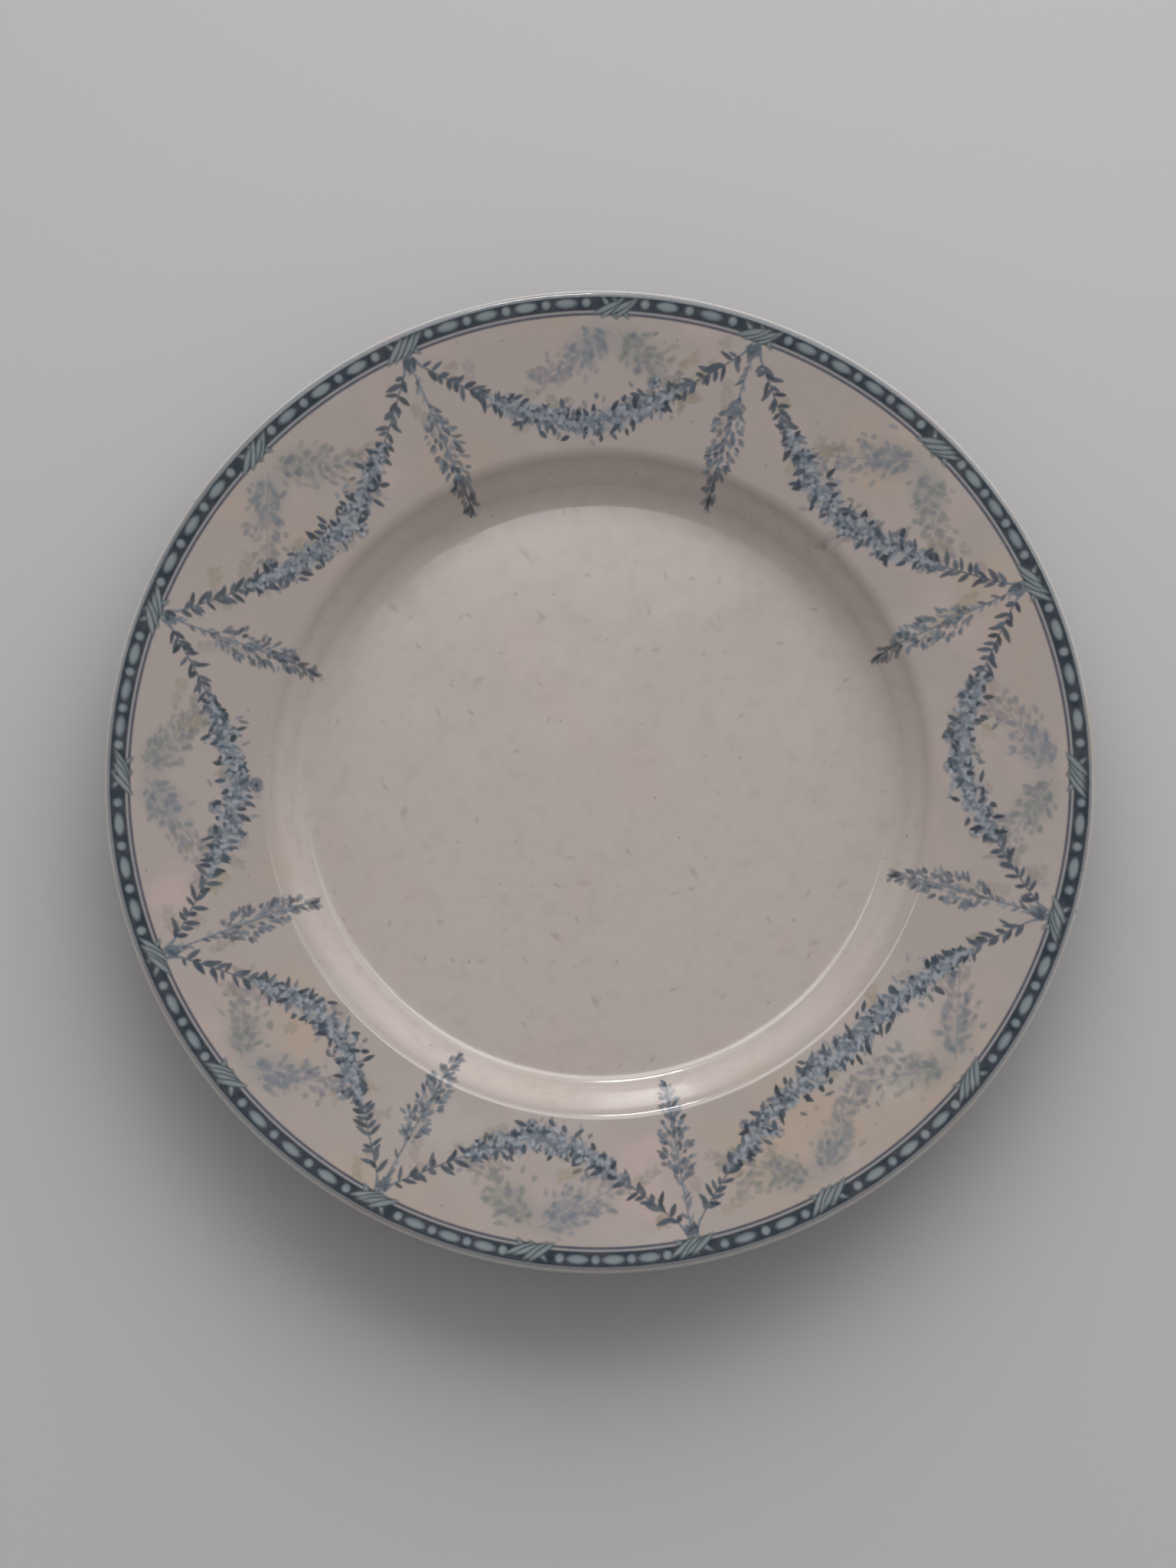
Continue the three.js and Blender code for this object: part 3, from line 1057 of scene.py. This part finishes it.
def floor_material():
    """Plain pale paper."""
    shader = Shader("pale_floor")
    shader.put(shader.surface.inputs["Base Color"], FLOOR_PALE)
    shader.surface.inputs["Roughness"].default_value = FLOOR_ROUGHNESS
    shader.surface.inputs["Specular IOR Level"].default_value = FLOOR_SPECULAR
    return shader.material


# Scene

def dress(piece, material, node):
    """Gives a piece its material and its place in the frame, and hides the CAD part that it stands in for."""
    piece.data.materials.append(material)
    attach(piece, "root")
    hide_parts(node)


def add_camera():
    """The camera, square to the photograph's frame, with the dish where the photograph has it."""
    pixel = 2 * (LIP_REACH + GLAZE) * MM / PHOTO_DISH_WIDTH
    away = Vector((0, -math.cos(CAMERA_ELEVATION), math.sin(CAMERA_ELEVATION)))
    up = Vector((0, math.sin(CAMERA_ELEVATION), math.cos(CAMERA_ELEVATION)))
    right = (PHOTO_DISH_CENTRE[0] - PHOTO_SIZE[0] / 2) * pixel
    raised = (PHOTO_SIZE[1] / 2 - PHOTO_DISH_CENTRE[1]) * pixel
    rim = Vector((0, 0, LIP_TOP * MM))
    data = bpy.data.cameras.new("camera")
    data.sensor_fit = "VERTICAL"
    data.sensor_height = SENSOR_HEIGHT
    data.lens = SENSOR_HEIGHT / PHOTO_SIZE[1] * CAMERA_DISTANCE / pixel
    camera = bpy.data.objects.new("camera", data)
    camera.location = rim - Vector((right, 0, 0)) - up * raised + away * CAMERA_DISTANCE
    camera.rotation_euler = away.to_track_quat("Z", "Y").to_euler()
    bpy.context.scene.collection.objects.link(camera)
    bpy.context.scene.camera = camera


def add_lamp(name, place, size, watts, glints_only=False):
    """A soft rectangular lamp, which may light nothing and only be mirrored in the glaze."""
    data = bpy.data.lights.new(name, "AREA")
    data.shape = "RECTANGLE"
    data.size, data.size_y = size
    data.energy = watts
    lamp = bpy.data.objects.new(name, data)
    lamp.location = place
    lamp.rotation_euler = (Vector(place) - Vector(LAMP_TARGET)).to_track_quat("Z", "Y").to_euler()
    lamp.visible_camera = False
    lamp.visible_diffuse = not glints_only
    bpy.context.scene.collection.objects.link(lamp)


def add_world():
    """Soft light from all round, brightest low down on one side. What is seen or mirrored of it is an even
    backdrop."""
    world = bpy.data.worlds.new("studio")
    world.use_nodes = True
    tree = world.node_tree
    background = tree.nodes["Background"]
    background.inputs["Color"].default_value = (*SKY_COLOUR, 1.0)
    direction = tree.nodes.new("ShaderNodeTexCoord")
    facing = tree.nodes.new("ShaderNodeVectorMath")
    facing.operation = "DOT_PRODUCT"
    facing.inputs[1].default_value = SKY_TOWARDS
    level = tree.nodes.new("ShaderNodeMapRange")
    level.interpolation_type = "SMOOTHSTEP"
    level.inputs["From Min"].default_value = SKY_EDGE
    level.inputs["To Min"].default_value = SKY_DIM
    level.inputs["To Max"].default_value = SKY_BRIGHT
    tree.links.new(direction.outputs["Generated"], facing.inputs[0])
    tree.links.new(facing.outputs["Value"], level.inputs["Value"])
    rays = tree.nodes.new("ShaderNodeLightPath")
    shows = rays.outputs["Is Camera Ray"]
    for ray in ("Is Glossy Ray", "Is Transmission Ray"):
        either = tree.nodes.new("ShaderNodeMath")
        either.operation = "MAXIMUM"
        tree.links.new(shows, either.inputs[0])
        tree.links.new(rays.outputs[ray], either.inputs[1])
        shows = either.outputs["Value"]
    strength = tree.nodes.new("ShaderNodeMix")
    strength.inputs["B"].default_value = BACKDROP
    tree.links.new(shows, strength.inputs["Factor"])
    tree.links.new(level.outputs["Result"], strength.inputs["A"])
    tree.links.new(strength.outputs["Result"], background.inputs["Strength"])
    bpy.context.scene.world = world


def add_floor():
    """A pale floor under the foot, far wider than the view."""
    mesh = bpy.data.meshes.new("floor")
    half = FLOOR_WIDTH / 2
    corners = [(-half, -half, 0), (half, -half, 0), (half, half, 0), (-half, half, 0)]
    mesh.from_pydata(corners, [], [(0, 1, 2, 3)])
    mesh.materials.append(floor_material())
    floor = bpy.data.objects.new("floor", mesh)
    bpy.context.scene.collection.objects.link(floor)


add_camera()
face, back, base = clay_profile(LIP_REACH, LIP_TOP)
plain = plain_material("plain_ware", WARE_BACK)
dress(clay_body(face, back, base), clay_material(), "biscuit_body")
dress(glaze_face(face), face_material(), "glaze_coat")
dress(glaze_back(back), plain, "glaze_coat")
dress(glaze_base(base), plain, "base_glaze")

add_floor()
add_world()
add_lamp("key", KEY_PLACE, KEY_SIZE, KEY_WATTS)
add_lamp("panel", PANEL_PLACE, PANEL_SIZE, PANEL_WATTS, glints_only=True)
for i in range(GLINTS):
    place = (GLINT_FIRST[0] + i * GLINT_STEP, *GLINT_FIRST[1:])
    add_lamp("glint", place, GLINT_SIZE, GLINT_WATTS, glints_only=True)
bpy.context.scene.view_settings.view_transform = "Standard"
